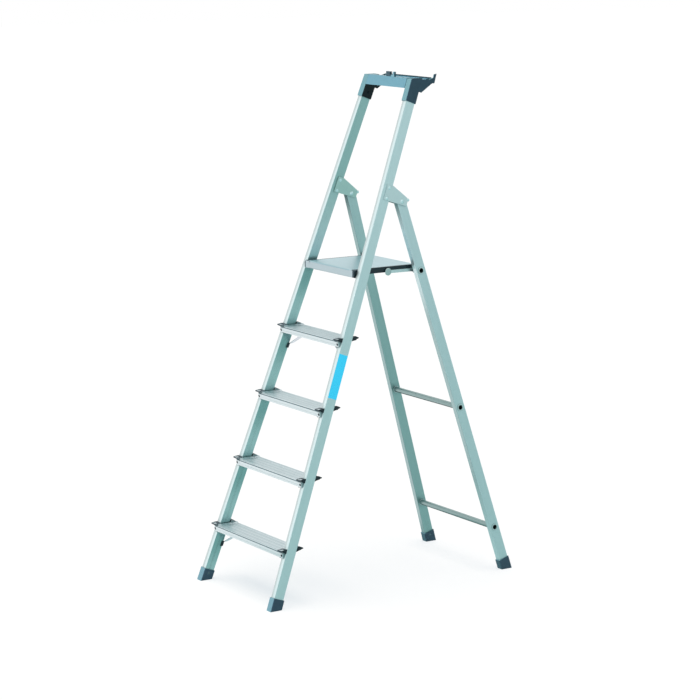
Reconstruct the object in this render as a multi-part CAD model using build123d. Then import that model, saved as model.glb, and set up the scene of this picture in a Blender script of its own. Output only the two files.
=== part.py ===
"""Folding step ladder with four treads, a folding platform and a tool tray.

Frame: +Z up, the climber stands at -Y and faces +Y, +X is the climber's right.
The origin lies on the floor, in the middle of the four shoes.  Millimetres.

Both sides of the ladder lean in towards each other.  Everything on a side is drawn on that
side's own slanted plane: local x runs behind the stile, local y runs up the stile and local z
points out of the ladder.  Right-hand pieces are drawn and then mirrored to the left.
"""
import os
from math import cos, hypot, radians, sin, tan

from build123d import *

# Stance
floor_width = 499.0
side_lean = 3.32
front_lean = 20.0
rear_lean = 17.0

# Stiles: rectangular aluminium tube
stile_depth = 38.0
stile_width = 23.4
stile_wall = 1.6
stile_corner = 1.5

# Hinge between the two frames
hinge_height = 1490.0
fold_gap = 32.5
hinge_pin_radius = 5.0
hinge_bush_wall = 3.0
rear_stile_above_hinge = 13.5
hinge_plate_thickness = 3.0
hinge_plate_front = 25.0
hinge_plate_margin = 3.5
hinge_plate_low = 15.0
hinge_plate_rear_low = 10.0
hinge_plate_rear_high = 13.0
hinge_plate_high = 42.0
hinge_plate_chamfer = 6.0
hinge_plate_corner = 2.5
plate_rivet_edge = 13.7
upper_plate_rivet = 30.0
lower_plate_rivet = -8.0
stop_pin_below_top = 1.0
hinge_head_radius = 7.5
hinge_head_height = 3.0
rivet_radius = 3.0
rivet_head_radius = 6.0
rivet_head_height = 2.4
flush_head_height = 0.8
blind_head_radius = 4.0
blind_head_height = 1.2
dome_flat = 0.55
stop_pin_radius = 3.2
stop_lug_wall = 2.0
stop_head_lip = 1.0
stop_head_height = 1.5
plug_depth = 9.0
plug_head = 1.0
plug_corner = 0.5

# Treads
tread_count = 4
first_tread_top = 198.5
tread_rise = 235.0
tread_depth = 86.0
tread_overhang = 14.0
nose_lap = 14.0
tread_front_height = 22.0
tread_rear_height = 5.5
tread_box_depth = 35.0
tread_slope_depth = 50.0
tread_slope_height = 9.5
tread_wall = 1.7
tread_rib_height = 1.0
tread_rib_width = 5.0
tread_rib_pitch = 10.0
tread_rib_start = 6.0
tread_rib_draft = 0.6
nose_groove_drop = 2.0
nose_groove_height = 3.0
nose_groove_depth = 1.4
skirt_height = 7.0
skirt_step = 1.2

# Tread end caps
cap_plate = 4.0
cap_rim = 5.0
cap_lip = 0.6
cap_plug_depth = 10.0
front_ear_reach = 21.0
front_ear_low = 6.0
rear_ear_reach = 27.0
rear_ear_low = 5.0
rear_ear_high = 12.0
ear_height = 8.5
ear_tip_height = 6.0
ear_tip_thickness = 3.0
ear_wall = 2.4
ear_pocket = 2.2
screw_radius = 2.5
screw_cap_radius = 4.5
screw_cap_height = 2.0
screw_drop = 13.5
screw_inset = 8.75

# Tread braces
braced_treads = (1, 4)
brace_width = 12.0
brace_thickness = 3.0
brace_drop = 53.0
brace_run = 92.0
brace_flange = 18.0
brace_foot_height = 17.0
brace_foot_width = 6.0
brace_foot_thickness = 4.0
brace_setback = 8.0

# Shoes
shoe_wall = 3.0
shoe_sole = 6.0
front_shoe_height = 48.0
rear_shoe_height = 36.0
shoe_corner = 2.5
shoe_rivet_drop = 14.0

# Platform
platform_play = 2.0
platform_overhang = 13.0
platform_past_crossbar = 3.0
platform_thickness = 8.5
platform_nose_height = 27.0
platform_nose_depth = 26.0
platform_nose_corner = 9.0
platform_low_corner = 4.0
platform_wall = 2.0
platform_chambers = 7
platform_plug_depth = 8.0
side_cap_width = 7.0
side_cap_height = 19.5
platform_hinge_height = 1199.0
platform_pin_radius = 4.0
pin_head_lip = 3.0
pin_head_height = 2.0
hinge_ear_depth = 40.0
hinge_ear_play = 0.5
hinge_ear_slope = 8.0

# Rear rungs
rung_radius = 10.0
rung_wall = 1.5
rung_flare = 3.0
rung_flare_thickness = 1.2
lower_rung_height = 163.4
middle_rung_height = 640.1

# Platform links
link_height = 11.0
link_thickness = 3.5
link_rise = 3.0
link_eye_wall = 2.6
knob_radius = 13.2
knob_height = 4.0
knob_play = 0.5
knob_roundness = 0.8
link_end_lip = 3.0
collar_radius = 13.5
collar_length = 5.0

# Tool tray
tray_top = 1791.5
tray_band = 34.0
tray_depth = 92.0
tray_wall = 3.0
tray_recess = 7.5
tray_front_rim = 20.0
tray_rim_slope = 2.0
tray_end_rim = 1.0
back_wall_step = 1.5
back_wall_drop = 20.5
back_wall_lean = 17.4
hook_height = 12.8
hook_front_height = 10.8
hook_depth = 10.3
stile_top_cover = 16.0
sleeve_length = 80.7
gusset_drop = 35.7
gusset_step = 10.0
end_notch_front = 16.0
end_notch_rear = 16.0
end_notch_slope = 7.0
bracket_rivet_drop = 20.0
clip_height = 17.0
clip_depth = 9.0
clip_foot_height = 6.0
clip_foot_width = 50.0
clip_foot_middle = 12.0
clip_post_width = 24.0
clip_post_middle = -1.0
clip_finger_width = 8.0
clip_finger_middle = 32.0
clip_setback = 2.0

# Label
label_bottom = 761.0
label_length = 157.0
label_margin = 1.0
label_thickness = 0.3

# Clearances
fit_gap = 0.1
running_gap = 0.08
body_gap = 0.3

# Worked-out values
front_angle = radians(front_lean)
rear_angle = radians(rear_lean)
side_angle = radians(side_lean)
twist = sin(side_angle) * (sin(front_angle) + sin(rear_angle)) * stile_depth / 2
hinge_side_gap = body_gap + twist
rear_stile_width = stile_width - 2 * hinge_side_gap
hinge_behind = stile_depth + fold_gap + stile_depth / 2
far = 4000.0
MIDDLE = Plane(origin=(0, 0, 0), x_dir=(0, 1, 0), z_dir=(1, 0, 0))


def stile_plane(foot_y, lean_angle):
    """Plane on the outer face of the right side, turned along a stile that leans back."""
    out = Vector(cos(side_angle), 0, sin(side_angle))
    up_slope = Vector(-sin(side_angle), 0, cos(side_angle))
    behind = Vector(0, cos(lean_angle), 0) - up_slope * sin(lean_angle)
    return Plane(origin=(floor_width / 2, foot_y, 0), x_dir=behind, z_dir=out)


def place(plane, behind, up, out=0.0):
    """World position of a point given in a side plane."""
    return plane.from_local_coords(Vector(behind, up, out))


# The front foot is set so that the origin falls midway between the front and rear shoes.
hinge_back = hinge_height * sin(front_angle) + hinge_behind * cos(front_angle)
hinge_up = hinge_height * cos(front_angle) - hinge_behind * sin(front_angle)
rear_foot_back = hinge_back + hinge_up * tan(rear_angle) - stile_depth / 2 / cos(rear_angle)
front_toe = -shoe_wall / cos(front_angle)
rear_heel = rear_foot_back + (stile_depth + shoe_wall) / cos(rear_angle)
front_foot_y = -(front_toe + rear_heel) / 2
rear_foot_y = front_foot_y + rear_foot_back

SIDE = stile_plane(front_foot_y, 0.0)
FRONT = stile_plane(front_foot_y, front_angle)
REAR = stile_plane(rear_foot_y, -rear_angle)

HINGE = place(FRONT, hinge_behind, hinge_height, -stile_width / 2)
hinge_along_rear = REAR.to_local_coords(HINGE).Y
platform_top = first_tread_top + tread_count * tread_rise
PLATFORM_PIVOT = place(FRONT, stile_depth / 2, platform_hinge_height, -stile_width / 2)
crossbar_z = platform_top - platform_thickness - rung_radius - body_gap


def along_front_stile(height):
    """Distance up the front stile at which its outer face has this height above the floor."""
    return height / FRONT.y_dir.Z


def along_rear_stile(height):
    """Distance up the rear stile's centre line at which it has this height above the floor."""
    foot = place(REAR, stile_depth / 2, 0, -hinge_side_gap - rear_stile_width / 2)
    return (height - foot.Z) / REAR.y_dir.Z


front_stile_top = along_front_stile(tray_top - stile_top_cover)
sleeve_bottom = along_front_stile(tray_top) - sleeve_length
gusset_bottom = along_front_stile(tray_top) - gusset_drop
crossbar_height = along_rear_stile(crossbar_z)


def turn(y, z, centre, angle):
    """Turn a (y, z) point about a centre, from +Y towards +Z."""
    dy = y - centre[0]
    dz = z - centre[1]
    return (centre[0] + dy * cos(angle) - dz * sin(angle), centre[1] + dy * sin(angle) + dz * cos(angle))


# The knob pin lies as far from the crossbar with the ladder open as with it folded.
fold_angle = front_angle + rear_angle
platform_turn = radians(90) - front_angle
CROSSBAR = place(REAR, stile_depth / 2, crossbar_height, -hinge_side_gap - rear_stile_width / 2)
open_bar = (CROSSBAR.Y, CROSSBAR.Z)
folded_bar = turn(CROSSBAR.Y, CROSSBAR.Z, (HINGE.Y, HINGE.Z), -fold_angle)
folded_in_platform = turn(*folded_bar, (PLATFORM_PIVOT.Y, PLATFORM_PIVOT.Z), -platform_turn)
middle_y = (open_bar[0] + folded_in_platform[0]) / 2
middle_z = (open_bar[1] + folded_in_platform[1]) / 2
knob_z = PLATFORM_PIVOT.Z + link_rise
knob_y = middle_y - (knob_z - middle_z) * (open_bar[1] - folded_in_platform[1]) / (
    open_bar[0] - folded_in_platform[0]
)


def inner_face_x(height):
    """Distance from the middle to a side's inner face, at a height above the floor."""
    return floor_width / 2 - height * tan(side_angle) - stile_width / cos(side_angle)


# Across the ladder, measured from the middle.  The stiles come closer together higher up, so the
# folded platform's back edge and its knobs set how wide the platform may be.
platform_nose_y = front_foot_y + platform_top * tan(front_angle) - platform_overhang
platform_back_y = CROSSBAR.Y + platform_past_crossbar
swing = hypot(platform_back_y - PLATFORM_PIVOT.Y, platform_top - PLATFORM_PIVOT.Z)
knob_swing = hypot(knob_y - PLATFORM_PIVOT.Y, link_rise) + knob_radius
rail_stack = body_gap + link_thickness + knob_height
side_cap_out = min(
    inner_face_x(PLATFORM_PIVOT.Z + swing) - platform_play,
    inner_face_x(PLATFORM_PIVOT.Z + knob_swing) - knob_play - rail_stack,
)
platform_half_width = side_cap_out - side_cap_width
hinge_block_out = inner_face_x(platform_top + platform_nose_height) - hinge_ear_play
link_in = side_cap_out + body_gap
link_out = link_in + link_thickness
knob_out = link_out + knob_height


def outline_face(outline):
    """Face in local coordinates from corner points."""
    return make_face(Polyline(*outline, close=True))


def prism(plane, outline, low, high):
    """Solid that runs from low to high along a plane's normal, from corner points or a face."""
    face = outline_face(outline) if isinstance(outline, list) else outline
    return extrude(plane.offset(low) * face, amount=high - low, dir=plane.z_dir)


def drum(plane, x, y, radius, low, high):
    """Cylinder that stands on a plane, from low to high along the plane's normal."""
    return prism(plane, Pos(x, y) * Circle(radius), low, high)


def cross_bar(y, z, radius, x_low=-far, x_high=far):
    """Cylinder along X."""
    return drum(MIDDLE, y, z, radius, x_low, x_high)


def across(outline, half_width):
    """Solid with a (y, z) outline, centred on the middle plane."""
    return prism(MIDDLE, outline, -half_width, half_width)


def domed_head(plane, x, y, radius, height, level, outward=1):
    """Rivet head: a low dome that sits on the level of a plane."""
    dome = loft([Circle(radius), Pos(0, 0, height) * Circle(radius * dome_flat)])
    if outward < 0:
        dome = Rot(180, 0, 0) * dome
    return plane.offset(level).location * (Pos(x, y) * dome)


def slab(plane, low, high):
    """Everything between two levels of a side plane."""
    return extrude(plane.offset(low) * Rectangle(2 * far, 2 * far), amount=high - low, dir=plane.z_dir)


def inside_sides(shape, level):
    """Trim a piece that runs across the ladder to a level of both side planes."""
    beyond = slab(SIDE, level, level + 2 * far)
    return shape - beyond - mirror(beyond, about=Plane.YZ)


def above(shape, height):
    """Cut away what lies below a height."""
    return shape - Pos(0, 0, height - far / 2) * Box(far, far, far)


def mirrored(shape):
    """Left-hand twin of a right-hand piece."""
    return mirror(shape, about=Plane.YZ)


def both(shape):
    """A right-hand piece and its left-hand twin as one group."""
    return Compound(children=[*shape.solids(), *mirrored(shape).solids()])


def tube_along(plane, start, end, inset, faces, corner, wall=None):
    """Rectangular bar or tube up a stile, smaller than the stile all round by the inset.

    The faces are the levels of the stile's outer and inner faces.  A negative inset goes round it.
    """
    depth = stile_depth - 2 * inset
    width = faces[0] - faces[1] - 2 * inset
    middle = (faces[0] + faces[1]) / 2
    section_plane = Plane(
        origin=place(plane, stile_depth / 2, start, middle), x_dir=plane.x_dir, z_dir=plane.y_dir
    )
    section = RectangleRounded(depth, width, corner)
    if wall:
        section -= RectangleRounded(depth - 2 * wall, width - 2 * wall, max(corner - wall, 0.4))
    return extrude(section_plane * section, amount=end - start, dir=plane.y_dir)


def front_face_y(height, level=0.0):
    """Y of the front stile's front face at a height above the floor, at a level of the side."""
    up = (height - level * sin(side_angle)) / cos(side_angle)
    return front_foot_y + up * tan(front_angle)


FRONT_FACES = (0.0, -stile_width)
REAR_FACES = (-hinge_side_gap, -hinge_side_gap - rear_stile_width)


def stile_start(lean_angle):
    """Where a square-cut stile starts so that all of its end clears the shoe's sole."""
    lift = shoe_sole + stile_width * sin(side_angle)
    lift += max(0.0, stile_depth * sin(lean_angle)) * cos(side_angle)
    return lift / (cos(lean_angle) * cos(side_angle))


def shoe(plane, lean_angle, faces, height):
    """Plastic shoe: a socket round the stile's end, cut flat for the floor."""
    block = tube_along(plane, -stile_depth, height, -shoe_wall, faces, shoe_corner)
    socket = tube_along(
        plane, stile_start(lean_angle) - fit_gap, height + far, -fit_gap, faces, stile_corner
    )
    return above(block - socket, 0.0)


def blind_rivet(plane, faces, height, skin):
    """Blind rivet from the inner side through a moulding of this thickness into the stile."""
    middle = stile_depth / 2
    inner = faces[1] - skin
    shank = drum(plane, middle, height, rivet_radius, inner, faces[1] + 2 * stile_wall)
    return shank + domed_head(plane, middle, height, blind_head_radius, blind_head_height, inner, -1)


def blind_rivet_hole(plane, faces, height):
    """Hole for a blind rivet through a moulding and the stile's inner wall."""
    reach = 3 * stile_wall
    radius = rivet_radius + fit_gap
    return drum(plane, stile_depth / 2, height, radius, faces[1] - 2 * shoe_wall, faces[1] + reach)


front_rivet_height = front_shoe_height - shoe_rivet_drop
rear_rivet_height = rear_shoe_height - shoe_rivet_drop
bracket_rivet_height = sleeve_bottom + bracket_rivet_drop


def save(name, shape):
    """Write one node."""
    solids = shape.solids()
    result = solids[0] if len(solids) == 1 else Compound(children=list(solids))
    result.label = name
    export_step(result, f"parts/{name}.step")
    print(name, len(solids), "solids")


def save_pair(name, shape):
    """Write a right-hand piece and its left-hand twin as two nodes."""
    save(f"{name}_right", shape)
    save(f"{name}_left", mirrored(shape))


# Places that several pieces share
plate_rivets = [
    (stile_depth - plate_rivet_edge, hinge_height + upper_plate_rivet),
    (stile_depth - plate_rivet_edge, hinge_height + lower_plate_rivet),
]
stop_behind = hinge_behind + stile_depth / 2 + hinge_side_gap + stop_pin_radius
stop_height = hinge_height + rear_stile_above_hinge - stop_pin_below_top
rear_stile_top = hinge_along_rear + rear_stile_above_hinge
bush_radius = hinge_pin_radius + running_gap + hinge_bush_wall
tread_tops = [first_tread_top + i * tread_rise for i in range(tread_count)]
plate_out = hinge_plate_thickness
plate_in = -stile_width - hinge_plate_thickness


def behind_front_face(clearance):
    """Everything behind the right stile's front face, and a clearance ahead of it."""
    outline = [(-clearance, -far), (far, -far), (far, far), (-clearance, far)]
    return prism(FRONT, outline, -far, far)


def front_stile():
    """Aluminium tube from the shoe to the tray, with its rivet, screw and pin holes."""
    start = stile_start(front_angle)
    stile = tube_along(FRONT, start, front_stile_top, 0, FRONT_FACES, stile_corner, stile_wall)
    for x, y in plate_rivets:
        stile -= drum(FRONT, x, y, rivet_radius + fit_gap, -2 * stile_width, stile_width)
    for top in tread_tops:
        stile -= tread_screw_hole(top)
    pin_hole = cross_bar(PLATFORM_PIVOT.Y, PLATFORM_PIVOT.Z, platform_pin_radius + fit_gap, 0)
    stile -= pin_hole & slab(FRONT, -2 * stile_width, -stile_width / 2)
    for height in (front_rivet_height, bracket_rivet_height):
        stile -= blind_rivet_hole(FRONT, FRONT_FACES, height)
    return stile


def rear_stile():
    """Aluminium tube, narrower than the front stile so that it swings between the hinge plates."""
    start = stile_start(-rear_angle)
    stile = tube_along(REAR, start, rear_stile_top, 0, REAR_FACES, stile_corner, stile_wall)
    stile -= cross_bar(HINGE.Y, HINGE.Z, bush_radius + fit_gap, 0)
    for y, z in rung_places:
        stile -= cross_bar(y, z, rung_radius + fit_gap, 0)
    return stile - blind_rivet_hole(REAR, REAR_FACES, rear_rivet_height)


def rung_place(height):
    """World (y, z) of a rung at a distance up the rear stile."""
    point = place(REAR, stile_depth / 2, height, -hinge_side_gap - rear_stile_width / 2)
    return (point.Y, point.Z)


rung_places = [rung_place(lower_rung_height), rung_place(middle_rung_height), open_bar]


def rung(y, z):
    """Round tube through both rear stiles, with a flared collar on each stile face."""
    bar = inside_sides(cross_bar(y, z, rung_radius), REAR_FACES[0] + rung_flare_thickness)
    height = along_rear_stile(z)
    for low, high in (
        (REAR_FACES[0], REAR_FACES[0] + rung_flare_thickness),
        (REAR_FACES[1] - rung_flare_thickness, REAR_FACES[1]),
    ):
        flare = drum(REAR, stile_depth / 2, height, rung_radius + rung_flare, low, high)
        bar += flare
        bar += mirrored(flare)
    return bar - cross_bar(y, z, rung_radius - rung_wall)


def hinge_plate(low, high):
    """Gusset plate fixed to the front stile; the rear stile's top swings beside it."""
    front = stile_depth - hinge_plate_front
    behind = hinge_behind + stile_depth / 2 + hinge_plate_margin
    outline = [
        (front, hinge_height - hinge_plate_low),
        (behind, hinge_height - hinge_plate_rear_low),
        (behind, hinge_height + hinge_plate_rear_high),
        (behind - hinge_plate_chamfer, hinge_height + hinge_plate_rear_high + hinge_plate_chamfer),
        (stile_depth, hinge_height + hinge_plate_high),
        (front, hinge_height + hinge_plate_high),
    ]
    face = outline_face(outline)
    face = fillet(face.vertices(), hinge_plate_corner)
    plate = prism(FRONT, face, low, high)
    plate += drum(FRONT, stop_behind, stop_height, stop_pin_radius + stop_lug_wall, low, high)
    plate -= drum(FRONT, stop_behind, stop_height, stop_pin_radius + fit_gap, low - 1, high + 1)
    for x, y in plate_rivets:
        plate -= drum(FRONT, x, y, rivet_radius + fit_gap, low - 1, high + 1)
    return plate - cross_bar(HINGE.Y, HINGE.Z, hinge_pin_radius + fit_gap, 0)


def through_rivet(x, y, radius, head_radius, head_height):
    """Rivet through both hinge plates: a domed head outside and a nearly flush one inside."""
    rivet = drum(FRONT, x, y, radius, plate_in, plate_out)
    rivet += domed_head(FRONT, x, y, head_radius, head_height, plate_out)
    return rivet + domed_head(FRONT, x, y, head_radius, flush_head_height, plate_in, -1)


def hinge_pin():
    """Pin along X whose heads lie on the slanted plates."""
    pin = cross_bar(HINGE.Y, HINGE.Z, hinge_pin_radius, 0) & slab(FRONT, plate_in, plate_out)
    spot = FRONT.to_local_coords(HINGE)
    for level, outward in ((plate_out, 1), (plate_in, -1)):
        pin += domed_head(FRONT, spot.X, spot.Y, hinge_head_radius, hinge_head_height, level, outward)
    return pin


def hinge_bush():
    """Plastic bush in the rear stile, a little longer than the stile is wide."""
    ring = cross_bar(HINGE.Y, HINGE.Z, bush_radius, 0)
    ring -= cross_bar(HINGE.Y, HINGE.Z, hinge_pin_radius + running_gap, 0)
    return ring & slab(FRONT, REAR_FACES[1] - body_gap / 2, REAR_FACES[0] + body_gap / 2)


def stile_plug():
    """End plug in the top of a rear stile, forked round the hinge bush."""
    low = rear_stile_top - plug_depth
    plug = tube_along(REAR, low, rear_stile_top, stile_wall + fit_gap, REAR_FACES, plug_corner)
    plug -= cross_bar(HINGE.Y, HINGE.Z, bush_radius + fit_gap, 0)
    head_top = rear_stile_top + plug_head
    return plug + tube_along(REAR, rear_stile_top, head_top, fit_gap, REAR_FACES, stile_corner)


def tread_nose_y(top):
    """Y of a tread's front edge."""
    return front_face_y(top, -stile_width) - tread_overhang


def tread_section(top):
    """Outline of a tread's extrusion: a deep box at the nose that thins towards the back."""
    nose = tread_nose_y(top)
    back = nose + tread_depth
    low = top - tread_front_height
    return [
        (nose, top),
        (back, top),
        (back, top - tread_rear_height),
        (nose + tread_slope_depth, top - tread_slope_height),
        (nose + tread_box_depth, low),
        (nose + skirt_step, low),
        (nose + skirt_step, low + skirt_height),
        (nose, low + skirt_height + skirt_step),
    ]


def tread_hollow(top, clearance):
    """The chamber inside a tread, as a face."""
    inset = -tread_wall - clearance
    return offset(outline_face(tread_section(top)), amount=inset, kind=Kind.INTERSECTION)


def screw_plane(top):
    """Plane of a tread screw's seat on the nose, its normal pointing at the climber."""
    height = top - screw_drop
    x = inner_face_x(height) + screw_inset / cos(side_angle)
    y = tread_nose_y(top) + skirt_step
    return Plane(origin=(x, y, height), x_dir=(1, 0, 0), z_dir=(0, -1, 0))


def screw_length(top):
    """From a tread screw's seat through the stile's front wall."""
    face = front_face_y(top - screw_drop, screw_inset - stile_width)
    return face + 2 * stile_wall - tread_nose_y(top) - skirt_step


def tread_screw_hole(top):
    """Hole for a tread screw, and its round seat in the nose."""
    plane = screw_plane(top)
    hole = drum(plane, 0, 0, screw_radius + fit_gap, -screw_length(top) - stile_wall, 1)
    return hole + drum(plane, 0, 0, screw_cap_radius + fit_gap, 0, 2 * skirt_step)


def tread(top):
    """Ribbed hollow aluminium tread.  Its closed nose laps the front of both stiles."""
    nose = tread_nose_y(top)
    body = across(tread_section(top), floor_width / 2)
    groove_top = top - nose_groove_drop
    groove = [
        (nose - 1, groove_top),
        (nose + nose_groove_depth, groove_top),
        (nose + nose_groove_depth, groove_top - nose_groove_height),
        (nose - 1, groove_top - nose_groove_height),
    ]
    body -= across(groove, floor_width)
    body -= inside_sides(across(tread_hollow(top, 0.0), floor_width), -stile_width)
    rib_count = int((tread_depth - tread_rib_start) // tread_rib_pitch)
    for i in range(rib_count):
        start = nose + tread_rib_start + i * tread_rib_pitch
        end = start + tread_rib_width
        rib = [
            (start, top - tread_rib_height / 2),
            (start + tread_rib_draft, top + tread_rib_height),
            (end - tread_rib_draft, top + tread_rib_height),
            (end, top - tread_rib_height / 2),
        ]
        body += across(rib, floor_width / 2)
    stile_room = behind_front_face(fit_gap)
    lapping_nose = inside_sides(body, nose_lap - stile_width) - stile_room - mirrored(stile_room)
    screw_hole = tread_screw_hole(top)
    whole = inside_sides(body, -stile_width - cap_plate) + lapping_nose
    return whole - screw_hole - mirrored(screw_hole)


def side_outline(points):
    """World (y, z) points of the right side's outer face as local points of SIDE."""
    return [(y - front_foot_y, z / cos(side_angle)) for y, z in points]


def tread_ears(top):
    """Corner points of the cap's two ears, before and behind the stile."""
    lean = tan(front_angle)
    face = front_face_y(top) - fit_gap
    back = front_face_y(top) + stile_depth / cos(front_angle) + fit_gap
    front_ear = [
        (face - front_ear_low * lean, top - front_ear_low),
        (face + ear_height * lean, top + ear_height),
        (face - front_ear_reach / 3, top + ear_height),
        (face - front_ear_reach, top + ear_tip_height),
        (face - front_ear_reach, top + ear_tip_height - ear_tip_thickness),
    ]
    rear_ear = [
        (back - rear_ear_low * lean, top - rear_ear_low),
        (back + rear_ear_high * lean, top + rear_ear_high),
        (back + rear_ear_reach / 2, top + rear_ear_high),
        (back + rear_ear_reach, top + ear_tip_height),
        (back + rear_ear_reach, top + ear_tip_height - ear_tip_thickness),
    ]
    return front_ear, rear_ear


def ear_pocket_cut(near_y, far_y, floor, height):
    """Shallow pocket in the top of an ear, inside its wall."""
    outline = [(near_y, floor), (far_y, floor), (far_y, height), (near_y, height)]
    return prism(SIDE, side_outline(outline), -stile_width + ear_wall, -ear_wall)


def nose_room(top):
    """Space that a tread's lapping nose takes from its end cap."""
    front = tread_nose_y(top) - cap_lip - fit_gap
    back = front_face_y(top) + stile_depth
    low = top - tread_front_height - cap_lip - fit_gap
    high = top + tread_rib_height + fit_gap
    room = across([(front, low), (back, low), (back, high), (front, high)], floor_width / 2)
    room &= slab(SIDE, -stile_width - 2 * cap_plate, nose_lap - stile_width + fit_gap)
    return room - behind_front_face(0.0)


def tread_cap(top):
    """Plastic tread end: plate against the stile, plug in the tread, one ear before and one behind."""
    nose = tread_nose_y(top)
    plate_low = -stile_width - cap_plate
    plate = offset(outline_face(side_outline(tread_section(top))), amount=cap_lip)
    cap = prism(SIDE, plate, plate_low, -stile_width)
    rim = [
        (nose + cap_rim, top + cap_rim),
        (nose + tread_depth - cap_rim, top + cap_rim),
        (nose + tread_depth, top - tread_rear_height / 2),
        (nose, top - tread_rear_height / 2),
    ]
    cap += prism(SIDE, side_outline(rim), plate_low, -stile_width)
    front_ear, rear_ear = tread_ears(top)
    for ear in (front_ear, rear_ear):
        cap += prism(SIDE, side_outline(ear), plate_low, 0.0)
    front_tip = front_ear[3][0]
    rear_tip = rear_ear[3][0]
    front_floor = top + ear_tip_height - ear_pocket
    front_root = front_ear[0][0] - ear_wall
    cap -= ear_pocket_cut(front_tip + ear_wall, front_root, front_floor, top + 2 * rear_ear_high)
    rear_root = rear_ear[1][0] + ear_wall
    rear_floor = top + ear_tip_height - ear_pocket
    cap -= ear_pocket_cut(rear_root, rear_tip - ear_wall, rear_floor, top + 2 * rear_ear_high)
    cap -= nose_room(top)
    plug = across(tread_hollow(top, fit_gap), floor_width / 2)
    return cap + (plug & slab(SIDE, plate_low - cap_plug_depth, plate_low + cap_plate / 2))


def tread_screw(top):
    """Screw with a low round cap, through a tread's nose into the stile's front wall."""
    plane = screw_plane(top)
    screw = drum(plane, 0, 0, screw_radius, -screw_length(top), 0)
    return screw + domed_head(plane, 0, 0, screw_cap_radius, screw_cap_height, 0)


def brace_foot_z(top):
    """Height of the lower end of a tread's braces."""
    return top - tread_front_height - brace_drop


def brace(top):
    """Flat diagonal stay from its foot on the stile to a flange under the tread."""
    foot_z = brace_foot_z(top)
    foot_x = inner_face_x(foot_z)
    under = top - tread_front_height
    end_x = foot_x - brace_run
    outline = [
        (foot_x, foot_z),
        (foot_x, foot_z + brace_thickness * 1.5),
        (end_x + brace_thickness, under),
        (end_x - brace_flange, under),
        (end_x - brace_flange, under - brace_thickness),
        (end_x, under - brace_thickness),
    ]
    plane = Plane(origin=(0, front_face_y(top) + brace_setback, 0), x_dir=(1, 0, 0), z_dir=(0, -1, 0))
    stay = prism(plane, outline, -brace_width, 0)
    return stay - slab(SIDE, -stile_width - brace_foot_thickness, far)


def brace_foot(top):
    """Plastic foot that holds the brace on the stile's inner face, at its rear edge."""
    low = along_front_stile(brace_foot_z(top) - brace_thickness)
    high = low + brace_foot_height
    outline = [
        (stile_depth - brace_foot_width, low),
        (stile_depth, low),
        (stile_depth, high),
        (stile_depth - brace_foot_width, high),
    ]
    return prism(FRONT, outline, -stile_width - brace_foot_thickness, -stile_width)


def round_nose(outline):
    """Face from corner points, with the nose's top and bottom front corners rounded."""
    face = outline_face(outline)
    top_corner = face.vertices().group_by(Axis.X)[0].sort_by(Axis.Y)[-1]
    face = fillet(top_corner, platform_nose_corner)
    low_corner = face.vertices().group_by(Axis.Y)[0].sort_by(Axis.X)[0]
    return fillet(low_corner, platform_low_corner)


def platform_chamber_list():
    """Rooms of the deck's extrusion: (middle y, middle z, depth, height) of each."""
    low = platform_top - platform_thickness
    nose_low = platform_top - platform_nose_height + platform_wall
    rooms = [
        (
            platform_nose_y + platform_nose_depth / 2,
            (nose_low + low) / 2,
            platform_nose_depth - 2 * platform_wall,
            low - nose_low,
        )
    ]
    first = platform_nose_y + platform_nose_depth
    pitch = (platform_back_y - platform_wall - first) / platform_chambers
    for i in range(platform_chambers):
        middle = first + (i + 0.5) * pitch + platform_wall / 2
        height = platform_thickness - 2 * platform_wall
        rooms.append((middle, platform_top - platform_thickness / 2, pitch - platform_wall, height))
    return rooms


def platform_deck():
    """Hollow-chamber aluminium deck with a deep rounded nose."""
    low = platform_top - platform_thickness
    nose_back = platform_nose_y + platform_nose_depth
    outline = [
        (platform_nose_y, platform_top),
        (platform_back_y, platform_top),
        (platform_back_y, low),
        (nose_back, low),
        (nose_back, platform_top - platform_nose_height),
        (platform_nose_y, platform_top - platform_nose_height),
    ]
    face = round_nose(outline)
    for y, z, depth, height in platform_chamber_list():
        face -= Pos(y, z) * Rectangle(depth, height)
    return across(face, platform_half_width)


def platform_side_cap():
    """Side rail of the platform: hinge ear in front, seat over the crossbar at the back."""
    low = platform_top - side_cap_height
    ear_back = platform_nose_y + hinge_ear_depth
    ear_low = platform_top - platform_nose_height
    seat_radius = rung_radius + body_gap
    seat_low = CROSSBAR.Z + seat_radius * cos(radians(45))
    seat_front = CROSSBAR.Y - 2 * seat_radius
    outline = [
        (platform_nose_y, platform_top),
        (platform_back_y, platform_top),
        (platform_back_y, seat_low),
        (seat_front, seat_low),
        (seat_front - hinge_ear_slope, low),
        (ear_back, low),
        (ear_back - hinge_ear_slope, ear_low),
        (platform_nose_y, ear_low),
    ]
    rail = prism(MIDDLE, round_nose(outline), platform_half_width, side_cap_out)
    rail -= cross_bar(CROSSBAR.Y, CROSSBAR.Z, seat_radius, 0)
    ear = [
        (platform_nose_y, platform_top),
        (ear_back, platform_top),
        (ear_back, low),
        (ear_back - hinge_ear_slope, ear_low),
        (platform_nose_y, ear_low),
    ]
    rail += prism(MIDDLE, round_nose(ear), side_cap_out - 1, hinge_block_out)
    for y, z, depth, height in platform_chamber_list():
        plug = Pos(y, z) * Rectangle(depth - 2 * fit_gap, height - 2 * fit_gap)
        rail += prism(MIDDLE, plug, platform_half_width - platform_plug_depth, platform_half_width + 1)
    pin_bore = platform_pin_radius + running_gap
    pin_start = platform_half_width + platform_wall
    return rail - cross_bar(PLATFORM_PIVOT.Y, PLATFORM_PIVOT.Z, pin_bore, pin_start)


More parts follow.
